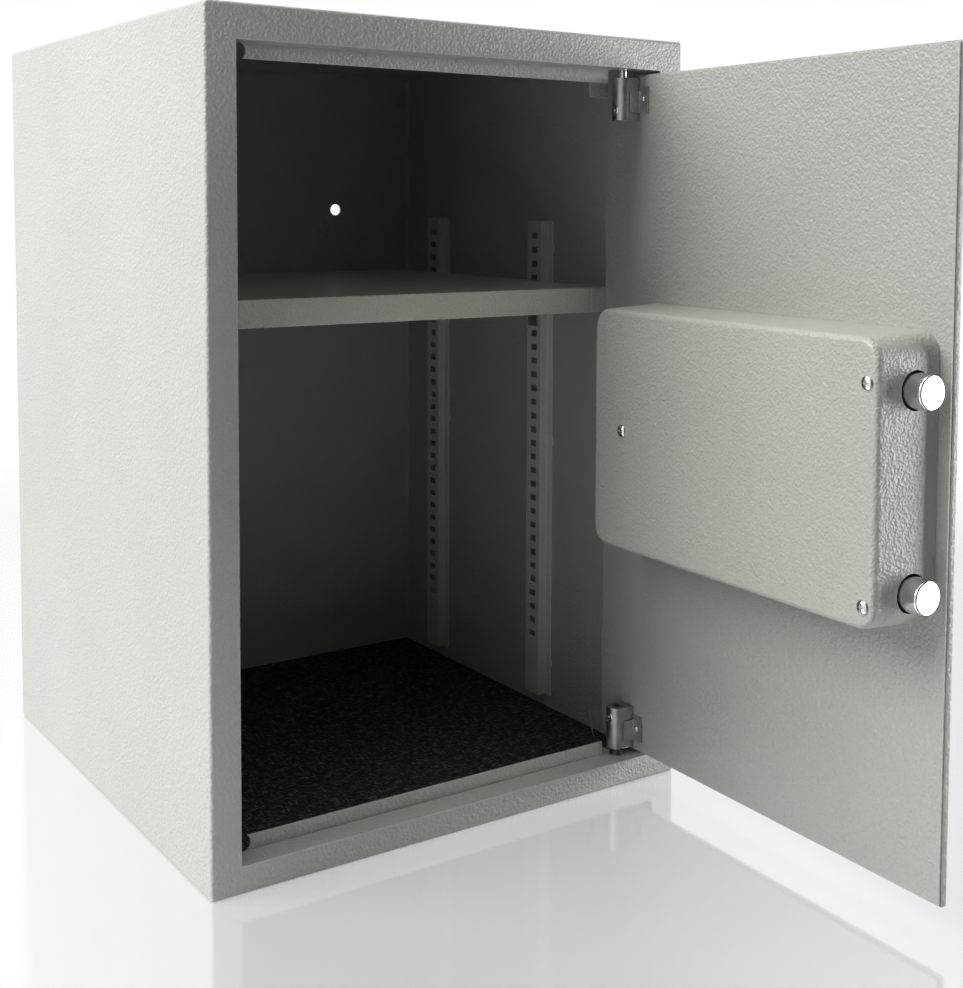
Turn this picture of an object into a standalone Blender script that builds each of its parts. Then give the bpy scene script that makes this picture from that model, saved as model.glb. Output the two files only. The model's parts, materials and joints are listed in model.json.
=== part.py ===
"""Sheet-steel document safe with one shelf: a folded cabinet with a key-locked door on pin hinges.

Metres, +Z up. The origin is the middle of the cabinet's underside, +X is the hinge side and -Y the front.
The door is laid out closed, flush in the cabinet's front, and then turned open about its hinge axis.
"""

import math

import bmesh
import bpy
from mathutils import Vector

# Cabinet
WIDTH = 0.350
DEPTH = 0.380
HEIGHT = 0.520
SHEET = 0.002
CORNER_RADIUS = 0.0022
CORNER_STEPS = 3
STILE = 0.019
TOP_RAIL = 0.021
BOTTOM_RAIL = 0.017
RETURN_DEPTH = 0.019
WELD_GAP = 0.0003
ANCHOR_RADIUS = 0.005
ANCHOR_SPACING = 0.200
ANCHOR_HEIGHT = 0.400

# Stop strips behind the top and bottom of the opening
STRIP_SHEET = 0.0015
STRIP_SHOWS = 0.009
STRIP_LEG = 0.012
STRIP_START = 0.0273
STRIP_NOTCH_RADIUS = 0.0058
STRIP_HINGE_ROOM = 0.0095

# Door
DOOR_GAP = 0.003
DOOR_PLATE = 0.004
DOOR_EDGE_RADIUS = 0.0008
LINER = 0.0012
LINER_INSET = 0.001
PIVOT_FROM_SIDE = 0.0402
PIVOT_FROM_FRONT = 0.0148
LINER_PAST_PIVOT = 0.0311
OPEN_ANGLE = math.radians(88.3)

# Hinges
PIN_RADIUS = 0.003
PIN_CLEARANCE = 0.0003
PIN_CHAMFER = 0.0006
BLOCK_RADIUS = 0.0075
BLOCK_HEIGHT = 0.029
BLOCK_TO_RETURN = 0.0055
BLOCK_SLOT = (0.009, 0.003, 0.006)
HINGE_PLATE = 0.003
HINGE_PLATE_REACH = 0.031
HINGE_EAR_WIDTH = 0.016
HINGE_EAR_SHOWS = 0.009
GRUB_RADIUS = 0.0032
GRUB_LENGTH = 0.0026
CLIP_SHEET = 0.0012
CLIP_FOOT = 0.010
CLIP_RISE = 0.009
CLIP_HEIGHT = 0.018
CLIP_SCREW_RADIUS = 0.0021
CLIP_SCREW_HEAD = 0.0012

# Lock cover, on the door's inner face
COVER_SHEET = 0.0012
COVER_DEPTH = 0.045
COVER_HEIGHT = 0.163
COVER_MIDDLE = 0.2579
COVER_FROM_FREE_EDGE = 0.0093
COVER_FROM_PIVOT = 0.0172
COVER_DRAFT = 0.002
COVER_CORNER_RADIUS = 0.013
COVER_EDGE_RADIUS = 0.0035
COVER_CORNER_STEPS = 5
COVER_EDGE_STEPS = 3
COVER_SCREW_INSET = 0.0095
COVER_SCREW_SPACING = 0.1212
COVER_MIDDLE_SCREW_INSET = 0.0338
COVER_SCREW_RADIUS = 0.002
COVER_SCREW_LENGTH = 0.012
COVER_SCREW_HEAD_RADIUS = 0.004
COVER_SCREW_HEAD = 0.0018
POST_RADIUS = 0.0042
RECESS_WIDTH = 0.0009
RECESS_DEPTH = 0.0010

# Boltwork
BOLT_RADIUS = 0.010
BOLT_SPACING = 0.1112
BOLT_MIDDLE = 0.2524
BOLT_OFF_LINER = 0.017
BOLT_PROUD = 0.0015
BOLT_LENGTH = 0.072
BOLT_CHAMFER = 0.0012
BOLT_THROW = 0.017
BOLT_HOLE_CLEARANCE = 0.0012
GUIDE_SHEET = 0.003
GUIDE_FROM_COVER = 0.0185
GUIDE_FOOT = 0.010
GUIDE_FLANGE = 0.015
GUIDE_FLANGE_MARGIN = 0.004
GUIDE_CLEARANCE = 0.0004
CARRIAGE_SHEET = 0.003
CARRIAGE_MARGIN = 0.003
STUD_RADIUS = 0.0037
STUD_LENGTH = 0.012
NUT_FLATS = 0.013
NUT_HEIGHT = 0.006
STRIKE_SHEET = 0.0025
STRIKE_DEPTH = 0.043
STRIKE_MARGIN = 0.014

# Knob and its crank
KNOB_FROM_FREE_EDGE = 0.096
KNOB_RADIUS = 0.017
KNOB_LENGTH = 0.022
KNOB_FLUTES = 12
KNOB_FLUTE_RADIUS = 0.0025
SPINDLE_RADIUS = 0.004
SPINDLE_CLEARANCE = 0.0004
BUSH_WALL = 0.003
COLLAR_RADIUS = 0.023
COLLAR_THICKNESS = 0.0025
CRANK_RADIUS = 0.0165
CRANK_THICKNESS = 0.004
CRANK_OFF_LINER = 0.0085
CRANK_PIN_RADIUS = 0.0025
CRANK_SLOT_CLEARANCE = 0.0008
CRANK_TO_SLOT_PLATE = 0.003
SLOT_PLATE_HEIGHT = 0.050
SLOT_PLATE_MARGIN = 0.009

# Key lock
KEYHOLE_LENGTH = 0.011
KEYHOLE_WIDTH = 0.0032
ROTOR_RADIUS = 0.008
ROTOR_CLEARANCE = 0.0005
CASE_SHARE = 0.5
CASE_HEIGHT = 0.076
CASE_DEPTH = 0.020
CASE_SHEET = 0.0015
LOCK_THROW_SHARE = 0.13
LOCK_PIN_RADIUS = 0.0015
LOCK_PLATE = 0.003
LOCK_PLATE_SHARE = 0.8
LOCK_PLATE_HEIGHT = 0.024
LOCK_SLOT_CLEARANCE = 0.0006
LOCK_PLATE_OFF_CASE = 0.005

# Shelf, its rails and clips
RAIL_SHEET = 0.0012
RAIL_WEB = 0.0172
RAIL_FLANGE = 0.0071
RAIL_PROUD = 0.008
RAIL_BOTTOM = 0.0135
RAIL_LENGTH = 0.3795
FRONT_RAIL = 0.1482
REAR_RAIL_FROM_BACK = 0.0451
RAIL_HOLES = 30
RAIL_HOLE_FIRST = 0.0621
RAIL_HOLE_PITCH = 0.011
RAIL_HOLE_WIDTH = 0.0085
RAIL_HOLE_HEIGHT = 0.005
SHELF_HOLE = 23
CLIP_SEAT = 0.010
CLIP_WIDTH = 0.012
CLIP_PLATE = 0.0015
CLIP_DROP = 0.018
CLIP_LUG_CLEARANCE = 0.0005
SHELF_SHEET = 0.0012
SHELF_LIP = 0.018
SHELF_HEM = 0.009
SHELF_SIDE_CLEARANCE = 0.0008
SHELF_FROM_FRONT = 0.060
SHELF_FROM_BACK = 0.018
SHELF_EDGE_RADIUS = 0.0011
SHELF_SEAM_INSET = 0.021
SHELF_SEAM_WIDTH = 0.0006
SHELF_SEAM_DEPTH = 0.0004

# Floor mat
MAT_THICKNESS = 0.003
MAT_SIDE_GAP = 0.0015
MAT_FROM_FRONT = 0.033

ROUND = 32
SMALL_ROUND = 16
PAST = 0.002

# Places that follow from the sizes above
LEFT = -WIDTH / 2
RIGHT = WIDTH / 2
FRONT = -DEPTH / 2
BACK = DEPTH / 2
OPENING_LEFT = LEFT + STILE
OPENING_RIGHT = RIGHT - STILE
OPENING_BOTTOM = BOTTOM_RAIL
OPENING_TOP = HEIGHT - TOP_RAIL
STOP_FRONT = FRONT + RETURN_DEPTH + WELD_GAP
PIVOT = Vector((RIGHT - PIVOT_FROM_SIDE, FRONT + PIVOT_FROM_FRONT, 0))
DOOR_LEFT = OPENING_LEFT + DOOR_GAP
DOOR_RIGHT = OPENING_RIGHT - DOOR_GAP
DOOR_BOTTOM = OPENING_BOTTOM + DOOR_GAP
DOOR_TOP = OPENING_TOP - DOOR_GAP
LINER_FRONT = FRONT + DOOR_PLATE + WELD_GAP
INNER_FACE = LINER_FRONT + LINER
COVER_LEFT = DOOR_LEFT + COVER_FROM_FREE_EDGE
COVER_RIGHT = PIVOT.x - COVER_FROM_PIVOT
COVER_BOTTOM = COVER_MIDDLE - COVER_HEIGHT / 2
COVER_TOP = COVER_MIDDLE + COVER_HEIGHT / 2
COVER_BASE = INNER_FACE + WELD_GAP
COVER_FACE = COVER_BASE + COVER_DEPTH
BOLT_Y = INNER_FACE + BOLT_OFF_LINER
BOLT_TIP = DOOR_LEFT - BOLT_PROUD
BOLT_END = BOLT_TIP + BOLT_LENGTH
BOLT_HEIGHTS = {"lower": BOLT_MIDDLE - BOLT_SPACING / 2, "upper": BOLT_MIDDLE + BOLT_SPACING / 2}
KNOB_AXIS = Vector((DOOR_LEFT + KNOB_FROM_FREE_EDGE, 0, BOLT_MIDDLE))
CRANK_REACH = BOLT_THROW / math.sqrt(2)
CRANK_PIN_X = KNOB_AXIS.x + CRANK_REACH / math.sqrt(2)
SLOT_PLATE_END = CRANK_PIN_X + SLOT_PLATE_MARGIN
POST_X = COVER_RIGHT - COVER_MIDDLE_SCREW_INSET
KEY_AXIS = Vector(((SLOT_PLATE_END + POST_X) / 2, 0, BOLT_MIDDLE))
CASE_WIDTH = (POST_X - SLOT_PLATE_END) * CASE_SHARE
LOCK_THROW = CASE_WIDTH * LOCK_THROW_SHARE
LOCK_PLATE_LENGTH = CASE_WIDTH * LOCK_PLATE_SHARE
REAR_RAIL = DEPTH - REAR_RAIL_FROM_BACK - RAIL_WEB - 2 * RAIL_FLANGE
LOCK_REACH = LOCK_THROW / math.sqrt(2)
RAIL_FACE = WIDTH / 2 - SHEET - RAIL_PROUD
CLIP_SEAT_TOP = RAIL_HOLE_FIRST + SHELF_HOLE * RAIL_HOLE_PITCH + CLIP_DROP - RAIL_HOLE_HEIGHT
SHELF_BOTTOM = CLIP_SEAT_TOP + WELD_GAP

# Colours: name, base colour, roughness, metallic
FINISHES = {
    "cabinet_paint": ((0.62, 0.63, 0.58), 0.45, 0.0),
    "door_paint": ((0.40, 0.40, 0.37), 0.45, 0.0),
    "cover_paint": ((0.52, 0.51, 0.46), 0.42, 0.0),
    "shelf_paint": ((0.60, 0.59, 0.53), 0.45, 0.0),
    "zinc": ((0.45, 0.46, 0.45), 0.40, 0.9),
    "bright_steel": ((0.75, 0.75, 0.74), 0.22, 1.0),
    "chrome": ((0.86, 0.86, 0.86), 0.06, 1.0),
    "black_plastic": ((0.02, 0.02, 0.02), 0.4, 0.0),
    "felt": ((0.03, 0.03, 0.032), 0.95, 0.0),
}


class Host:
    """Where a set of pieces belongs: the design position of its empty, and the empty that carries it."""

    def __init__(self, origin=None, empty=None):
        self.origin = origin or Vector((0, 0, 0))
        self.empty = empty

    def take(self, obj, place):
        obj.parent = self.empty
        obj.location = Vector(place) - self.origin


def clear_scene():
    for obj in list(bpy.data.objects):
        bpy.data.objects.remove(obj, do_unlink=True)


def new_collection(name, hidden=False):
    found = bpy.data.collections.new(name)
    found.hide_render = hidden
    bpy.context.scene.collection.children.link(found)
    return found


def make_materials():
    made = {}
    for name, (colour, roughness, metallic) in FINISHES.items():
        material = bpy.data.materials.new(name)
        material.use_nodes = True
        shader = material.node_tree.nodes["Principled BSDF"]
        shader.inputs["Base Color"].default_value = (*colour, 1)
        shader.inputs["Roughness"].default_value = roughness
        shader.inputs["Metallic"].default_value = metallic
        made[name] = material
    return made


clear_scene()
PARTS = new_collection("document_safe")
TOOLS = new_collection("cutters", hidden=True)
MATERIALS = make_materials()


def new_empty(name, origin, host, turn=0.0):
    """An empty on a joint's axis, with the host that stands for it."""
    empty = bpy.data.objects.new(name, None)
    PARTS.objects.link(empty)
    host.take(empty, origin)
    empty.rotation_euler.z = turn
    return Host(Vector(origin), empty)


def add(name, mesh, place, host, finish=None):
    """A part when it has a finish, otherwise a hidden cutter or filler."""
    obj = bpy.data.objects.new(name, mesh)
    host.take(obj, place)
    if finish:
        PARTS.objects.link(obj)
        mesh.materials.append(MATERIALS[finish])
    else:
        TOOLS.objects.link(obj)
        obj.hide_render = True
        obj.display_type = "WIRE"
    return obj


def mesh_from(bm, name, smooth=False):
    bmesh.ops.recalc_face_normals(bm, faces=bm.faces)
    mesh = bpy.data.meshes.new(name)
    bm.to_mesh(mesh)
    bm.free()
    if smooth:
        mesh.shade_smooth()
        mesh.set_sharp_from_angle(angle=math.radians(35))
    return mesh


def block(name, low, high, host, finish=None, radius=0.0, steps=2, rounded=None):
    """A box from corner to corner. Edges for which rounded(middle) is true are rounded to the radius."""
    low, high = Vector(low), Vector(high)
    size = high - low
    bm = bmesh.new()
    bmesh.ops.create_cube(bm, size=1)
    bmesh.ops.scale(bm, vec=size, verts=bm.verts)
    if radius:
        middles = {edge: (edge.verts[0].co + edge.verts[1].co) / 2 for edge in bm.edges}
        chosen = [edge for edge, middle in middles.items() if rounded is None or rounded(middle)]
        bmesh.ops.bevel(bm, geom=chosen, offset=radius, segments=steps, profile=0.5, affect="EDGES")
    return add(name, mesh_from(bm, name, bool(radius)), (low + high) / 2, host, finish)


def blocks(name, corners, host):
    """Several separate boxes as one cutter."""
    bm = bmesh.new()
    for low, high in corners:
        made = bmesh.ops.create_cube(bm, size=1)["verts"]
        bmesh.ops.scale(bm, vec=Vector(high) - Vector(low), verts=made)
        bmesh.ops.translate(bm, vec=(Vector(low) + Vector(high)) / 2, verts=made)
    return add(name, mesh_from(bm, name), (0, 0, 0), host)


def along(obj, direction):
    obj.rotation_euler = Vector(direction).to_track_quat("Z", "Y").to_euler()
    return obj


def rod(name, radius, start, end, host, finish=None, sides=ROUND):
    start, end = Vector(start), Vector(end)
    bm = bmesh.new()
    length = (end - start).length
    bmesh.ops.create_cone(bm, cap_ends=True, segments=sides, radius1=radius, radius2=radius, depth=length)
    obj = add(name, mesh_from(bm, name, True), (start + end) / 2, host, finish)
    return along(obj, end - start)


def rods(name, radius, places, start, end, host, sides=SMALL_ROUND):
    """Parallel cylinders as one cutter, each at a place plus the span from start to end along Y."""
    bm = bmesh.new()
    for place in places:
        cone = bmesh.ops.create_cone(
            bm, cap_ends=True, segments=sides, radius1=radius, radius2=radius, depth=end - start
        )
        bmesh.ops.translate(bm, vec=(place[0], place[1], (start + end) / 2), verts=cone["verts"])
    obj = add(name, mesh_from(bm, name), (0, 0, 0), host)
    return obj


def turned(name, profile, base, direction, host, finish=None, sides=ROUND):
    """A solid of revolution: (radius, height) points from the top of its axis to the bottom."""
    bm = bmesh.new()
    points = [bm.verts.new((radius, 0, height)) for radius, height in profile]
    for first, second in zip(points, points[1:]):
        bm.edges.new((first, second))
    mesh = bpy.data.meshes.new(name)
    bm.to_mesh(mesh)
    bm.free()
    obj = add(name, mesh, base, host, finish)
    screw = obj.modifiers.new("turn", "SCREW")
    screw.steps = sides
    screw.render_steps = sides
    screw.use_merge_vertices = True
    screw.merge_threshold = 0.00001
    screw.use_smooth_shade = True
    return along(obj, direction)


def combine(target, other, operation):
    modifier = target.modifiers.new(operation.lower(), "BOOLEAN")
    modifier.operation = operation
    modifier.object = other
    return target


def cut(target, *tools):
    for tool in tools:
        combine(target, tool, "DIFFERENCE")
    return target


def join(target, *tools):
    for tool in tools:
        combine(target, tool, "UNION")
    return target


def chamfered(radius, length, chamfer):
    """The profile of a plain pin from its base at 0 to its length, chamfered at both ends."""
    return [
        (0, length),
        (radius - chamfer, length),
        (radius, length - chamfer),
        (radius, chamfer),
        (radius - chamfer, 0),
        (0, 0),
    ]


def cross_recess(name, place, direction, half_length, host):
    """The two crossed slots of a Phillips recess, cut down from the place along the direction."""
    place, direction = Vector(place), Vector(direction)
    made = []
    for number, spread in enumerate((Vector((1, 0, 0)), Vector((0, 0, 1)))):
        across = direction.cross(spread)
        reach = spread * half_length + across * RECESS_WIDTH / 2
        corners = [place - reach - direction * PAST, place + reach + direction * RECESS_DEPTH]
        low = [min(pair) for pair in zip(*corners)]
        high = [max(pair) for pair in zip(*corners)]
        made.append(block(f"{name}_slot_{number}", low, high, host))
    return made


def make_shell(host):
    shell = block(
        "body_shell",
        (LEFT, FRONT, 0),
        (RIGHT, BACK, HEIGHT),
        host,
        "cabinet_paint",
        CORNER_RADIUS,
        CORNER_STEPS,
        rounded=lambda middle: middle.y < DEPTH / 2 - PAST,
    )
    cavity = block(
        "shell_cavity",
        (LEFT + SHEET, FRONT + SHEET, SHEET),
        (RIGHT - SHEET, BACK + PAST, HEIGHT - SHEET),
        host,
    )
    opening = block(
        "shell_opening",
        (OPENING_LEFT, FRONT - PAST, OPENING_BOTTOM),
        (OPENING_RIGHT, FRONT + SHEET + PAST, OPENING_TOP),
        host,
    )
    cut(shell, cavity, opening)
    for name, low, high in (
        ("return_top", OPENING_TOP, OPENING_TOP + SHEET),
        ("return_bottom", OPENING_BOTTOM - SHEET, OPENING_BOTTOM),
    ):
        join(
            shell,
            block(
                name,
                (OPENING_LEFT, FRONT + SHEET / 2, low),
                (OPENING_RIGHT, FRONT + RETURN_DEPTH, high),
                host,
            ),
        )
    pin_hole = PIN_RADIUS + PIN_CLEARANCE
    for name, low in (("bottom", OPENING_BOTTOM - SHEET - PAST), ("top", OPENING_TOP - PAST)):
        start = PIVOT + Vector((0, 0, low))
        end = start + Vector((0, 0, SHEET + 2 * PAST))
        cut(shell, rod(f"pin_hole_{name}", pin_hole, start, end, host, sides=SMALL_ROUND))


def make_back_panel(host):
    inset = SHEET + WELD_GAP
    panel = block(
        "back_panel",
        (LEFT + inset, BACK - SHEET, inset),
        (RIGHT - inset, BACK, HEIGHT - inset),
        host,
        "cabinet_paint",
    )
    for side in (-1, 1):
        start = Vector((side * ANCHOR_SPACING / 2, BACK - SHEET - PAST, ANCHOR_HEIGHT))
        end = start + Vector((0, SHEET + 2 * PAST, 0))
        cut(panel, rod(f"back_anchor_{side}", ANCHOR_RADIUS, start, end, host, sides=SMALL_ROUND))


def make_stop_strip(host, name, free_edge, wall, leg_side):
    """An angle behind a return: its upright shows past the return, and its leg lies on the wall."""
    start = LEFT + STRIP_START
    end = PIVOT.x - STRIP_HINGE_ROOM
    low, high = sorted((free_edge, wall))
    strip = block(name, (start, STOP_FRONT, low), (end, STOP_FRONT + STRIP_SHEET, high), host, "cabinet_paint")
    leg_low, leg_high = sorted((wall, wall + leg_side * STRIP_SHEET))
    leg = block(f"{name}_leg", (start, STOP_FRONT, leg_low), (end, STOP_FRONT + STRIP_LEG, leg_high), host)
    middle = free_edge - leg_side * STRIP_SHOWS / 2
    notch_start = Vector((start, STOP_FRONT - PAST, middle))
    notch_end = notch_start + Vector((0, STRIP_SHEET + 2 * PAST, 0))
    cut(join(strip, leg), rod(f"{name}_notch", STRIP_NOTCH_RADIUS, notch_start, notch_end, host))


def make_stop_strips(host):
    make_stop_strip(host, "stop_strip_top", OPENING_TOP - STRIP_SHOWS, HEIGHT - SHEET - WELD_GAP, -1)
    make_stop_strip(host, "stop_strip_bottom", OPENING_BOTTOM + STRIP_SHOWS, SHEET + WELD_GAP, 1)


def make_strike(host):
    low = BOLT_HEIGHTS["lower"] - BOLT_RADIUS - STRIKE_MARGIN
    high = BOLT_HEIGHTS["upper"] + BOLT_RADIUS + STRIKE_MARGIN
    front = FRONT + SHEET + WELD_GAP
    back = front + STRIKE_DEPTH
    plate = block("strike_plate", (OPENING_LEFT - STRIKE_SHEET, front, low), (OPENING_LEFT, back, high), host, "zinc")
    leg = block(
        "strike_leg",
        (LEFT + SHEET + WELD_GAP, back - STRIKE_SHEET, low),
        (OPENING_LEFT - STRIKE_SHEET / 2, back, high),
        host,
    )
    join(plate, leg)
    for name, height in BOLT_HEIGHTS.items():
        start = (OPENING_LEFT - STRIKE_SHEET - PAST, BOLT_Y, height)
        end = (OPENING_LEFT + PAST, BOLT_Y, height)
        cut(plate, rod(f"strike_hole_{name}", BOLT_RADIUS + BOLT_HOLE_CLEARANCE, start, end, host))


def make_hinge_plate(host, name, near, far):
    """A doubling plate welded over a return, with the pin's hole."""
    low, high = sorted((near, far))
    left = PIVOT.x - STRIP_HINGE_ROOM + WELD_GAP
    right = OPENING_RIGHT
    front = FRONT + SHEET + WELD_GAP
    plate = block(name, (left, front, low), (right, front + HINGE_PLATE_REACH, high), host, "cabinet_paint")
    start = PIVOT + Vector((0, 0, low - PAST))
    end = PIVOT + Vector((0, 0, high + PAST))
    tool = rod(f"{name}_hole", PIN_RADIUS + PIN_CLEARANCE, start, end, host, sides=SMALL_ROUND)
    return plate, tool


def make_hinge_plates(host):
    top = OPENING_TOP + SHEET + WELD_GAP
    plate, hole = make_hinge_plate(host, "hinge_plate_top", top, top + HINGE_PLATE)
    ear_back = FRONT + SHEET + WELD_GAP + HINGE_PLATE_REACH
    ear_left = PIVOT.x - HINGE_EAR_WIDTH
    ear = block(
        "hinge_ear",
        (ear_left, ear_back - SHEET, OPENING_TOP - STRIP_SHOWS - HINGE_EAR_SHOWS),
        (ear_left + HINGE_EAR_WIDTH, ear_back, top + HINGE_PLATE),
        host,
    )
    cut(join(plate, ear), hole)
    bottom = OPENING_BOTTOM - SHEET - WELD_GAP
    plate, hole = make_hinge_plate(host, "hinge_plate_bottom", bottom, bottom - HINGE_PLATE)
    cut(plate, hole)


def rail_mesh(name, side, front):
    """An open hat section drawn from the wall, out round the web and back to the wall."""
    wall = side * (WIDTH / 2 - SHEET - WELD_GAP - RAIL_SHEET / 2)
    web = side * (RAIL_FACE + RAIL_SHEET / 2)
    across = [(wall, 0), (wall, RAIL_FLANGE), (web, RAIL_FLANGE)]
    across += [(x, 2 * RAIL_FLANGE + RAIL_WEB - y) for x, y in reversed(across)]
    bm = bmesh.new()
    points = [bm.verts.new((x, front + y, RAIL_BOTTOM)) for x, y in across]
    edges = [bm.edges.new(pair) for pair in zip(points, points[1:])]
    extruded = bmesh.ops.extrude_edge_only(bm, edges=edges)["geom"]
    raised = [item for item in extruded if isinstance(item, bmesh.types.BMVert)]
    bmesh.ops.translate(bm, vec=(0, 0, RAIL_LENGTH), verts=raised)
    return mesh_from(bm, name)


def make_rail(host, name, side, from_front):
    front = FRONT + from_front
    rail = add(name, rail_mesh(name, side, front), (0, 0, 0), host, "cabinet_paint")
    thicken = rail.modifiers.new("sheet", "SOLIDIFY")
    thicken.thickness = RAIL_SHEET
    thicken.offset = 0
    thicken.use_even_offset = True
    middle = front + RAIL_FLANGE + RAIL_WEB / 2
    near, far = sorted((side * (RAIL_FACE - PAST), side * (RAIL_FACE + RAIL_SHEET + PAST)))
    half = (RAIL_HOLE_WIDTH / 2, RAIL_HOLE_HEIGHT / 2)
    heights = [RAIL_HOLE_FIRST + number * RAIL_HOLE_PITCH for number in range(RAIL_HOLES)]
    holes = [
        ((near, middle - half[0], height - half[1]), (far, middle + half[0], height + half[1]))
        for height in heights
    ]
    cut(rail, blocks(f"{name}_holes", holes, host))
    return middle


def make_shelf_clip(host, name, side, middle):
    """An angle on the web with a seat under the shelf and a lug through one of the rail's holes."""

    def box(piece, near, far, half_width, low, high, finish=None):
        left, right = sorted((side * near, side * far))
        return block(
            piece, (left, middle - half_width, low), (right, middle + half_width, high), host, finish
        )

    face = RAIL_FACE - WELD_GAP
    hole = RAIL_HOLE_FIRST + SHELF_HOLE * RAIL_HOLE_PITCH
    lug = RAIL_HOLE_HEIGHT / 2 - CLIP_LUG_CLEARANCE
    half = CLIP_WIDTH / 2
    lug_half = RAIL_HOLE_WIDTH / 2 - CLIP_LUG_CLEARANCE
    clip = box(name, face - CLIP_PLATE, face, half, CLIP_SEAT_TOP - CLIP_DROP, CLIP_SEAT_TOP, "zinc")
    seat_low = CLIP_SEAT_TOP - CLIP_PLATE
    seat = box(f"{name}_seat", face - CLIP_SEAT, face - CLIP_PLATE / 2, half, seat_low, CLIP_SEAT_TOP)
    lug_end = RAIL_FACE + RAIL_SHEET + PAST
    tongue = box(f"{name}_lug", face - CLIP_PLATE / 2, lug_end, lug_half, hole - lug, hole + lug)
    join(clip, seat, tongue)


def make_rails(host):
    for place, from_front in (("front", FRONT_RAIL), ("rear", REAR_RAIL)):
        for hand, side in (("left", -1), ("right", 1)):
            middle = make_rail(host, f"shelf_rail_{place}_{hand}", side, from_front)
            make_shelf_clip(host, f"shelf_clip_{place}_{hand}", side, middle)


def make_mat(host):
    inset = SHEET + MAT_SIDE_GAP
    low = SHEET + WELD_GAP
    block(
        "floor_mat",
        (LEFT + inset, FRONT + MAT_FROM_FRONT, low),
        (RIGHT - inset, BACK - inset, low + MAT_THICKNESS),
        host,
        "felt",
        MAT_THICKNESS / 4,
        rounded=lambda middle: middle.z > 0,
    )


def make_shelf(host):
    half = RAIL_FACE - SHELF_SIDE_CLEARANCE
    front = FRONT + SHELF_FROM_FRONT
    back = BACK - SHELF_FROM_BACK
    top = SHELF_BOTTOM + SHELF_LIP
    shelf = block(
        "shelf",
        (-half, front, SHELF_BOTTOM),
        (half, back, top),
        host,
        "shelf_paint",
        SHELF_EDGE_RADIUS,
        rounded=lambda middle: middle.z > 0 and abs(middle.x) < PAST,
    )
    inner = half - SHELF_SHEET
    hollow = block(
        "shelf_hollow",
        (-inner, front + SHELF_SHEET, SHELF_BOTTOM + SHELF_SHEET),
        (inner, back - SHELF_SHEET, top - SHELF_SHEET),
        host,
    )
    mouth = block(
        "shelf_mouth",
        (-inner, front + SHELF_HEM, SHELF_BOTTOM - PAST),
        (inner, back - SHELF_HEM, SHELF_BOTTOM + 2 * SHELF_SHEET),
        host,
    )
    seams = []
    for side in (-1, 1):
        place = side * (half - SHELF_SEAM_INSET)
        low = (place - SHELF_SEAM_WIDTH / 2, front - PAST, SHELF_BOTTOM - PAST)
        high = (place + SHELF_SEAM_WIDTH / 2, front + SHELF_SEAM_DEPTH, top - SHELF_EDGE_RADIUS)
        seams.append((low, high))
    cut(shelf, hollow, mouth, blocks("shelf_seams", seams, host))


def make_door_leaf(host):
    plate = block(
        "door_plate",
        (DOOR_LEFT, FRONT, DOOR_BOTTOM),
        (DOOR_RIGHT, FRONT + DOOR_PLATE, DOOR_TOP),
        host,
        "door_paint",
        DOOR_EDGE_RADIUS,
        rounded=lambda middle: middle.y < 0 or middle.x < -PAST,
    )
    liner = block(
        "door_liner",
        (DOOR_LEFT + LINER_INSET, LINER_FRONT, DOOR_BOTTOM + LINER_INSET),
        (PIVOT.x + LINER_PAST_PIVOT, INNER_FACE, DOOR_TOP - LINER_INSET),
        host,
        "door_paint",
    )
    holes = (
        ("spindle_hole", KNOB_AXIS, SPINDLE_RADIUS + SPINDLE_CLEARANCE + BUSH_WALL + WELD_GAP),
        ("rotor_hole", KEY_AXIS, ROTOR_RADIUS + ROTOR_CLEARANCE),
    )
    for name, axis, radius in holes:
        start = axis + Vector((0, FRONT - PAST, 0))
        end = axis + Vector((0, INNER_FACE + PAST, 0))
        tool = rod(name, radius, start, end, host)
        cut(plate, tool)
        cut(liner, tool)


def make_hinge_block(host, name, low, screw_height):
    """A block with a round front about the pin, flat sides to the liner and a grub screw on the pin."""
    high = low + BLOCK_HEIGHT
    back = INNER_FACE + WELD_GAP
    body = rod(name, BLOCK_RADIUS, PIVOT + Vector((0, 0, low)), PIVOT + Vector((0, 0, high)), host, "zinc")
    base = block(
        f"{name}_base",
        (PIVOT.x - BLOCK_RADIUS, back, low),
        (PIVOT.x + BLOCK_RADIUS, PIVOT.y, high),
        host,
    )
    start = PIVOT + Vector((0, 0, low - PAST))
    end = PIVOT + Vector((0, 0, high + PAST))
    bore = rod(f"{name}_bore", PIN_RADIUS + PIN_CLEARANCE, start, end, host, sides=SMALL_ROUND)
    floor = PIVOT.y + PIN_RADIUS + 3 * PIN_CLEARANCE
    counterbore = rod(
        f"{name}_counterbore",
        GRUB_RADIUS + WELD_GAP,
        (PIVOT.x, floor, screw_height),
        (PIVOT.x, PIVOT.y + BLOCK_RADIUS + PAST, screw_height),
        host,
        sides=SMALL_ROUND,
    )
    cut(join(body, base), bore, counterbore)
    grub = turned(
        name.replace("block", "screw"),
        chamfered(GRUB_RADIUS, GRUB_LENGTH, PIN_CHAMFER),
        (PIVOT.x, floor + WELD_GAP, screw_height),
        (0, 1, 0),
        host,
        "bright_steel",
        SMALL_ROUND,
    )
    face = (PIVOT.x, floor + WELD_GAP + GRUB_LENGTH, screw_height)
    cut(grub, *cross_recess(f"{name}_recess", face, (0, -1, 0), GRUB_RADIUS * 0.6, host))
    return body


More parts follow.
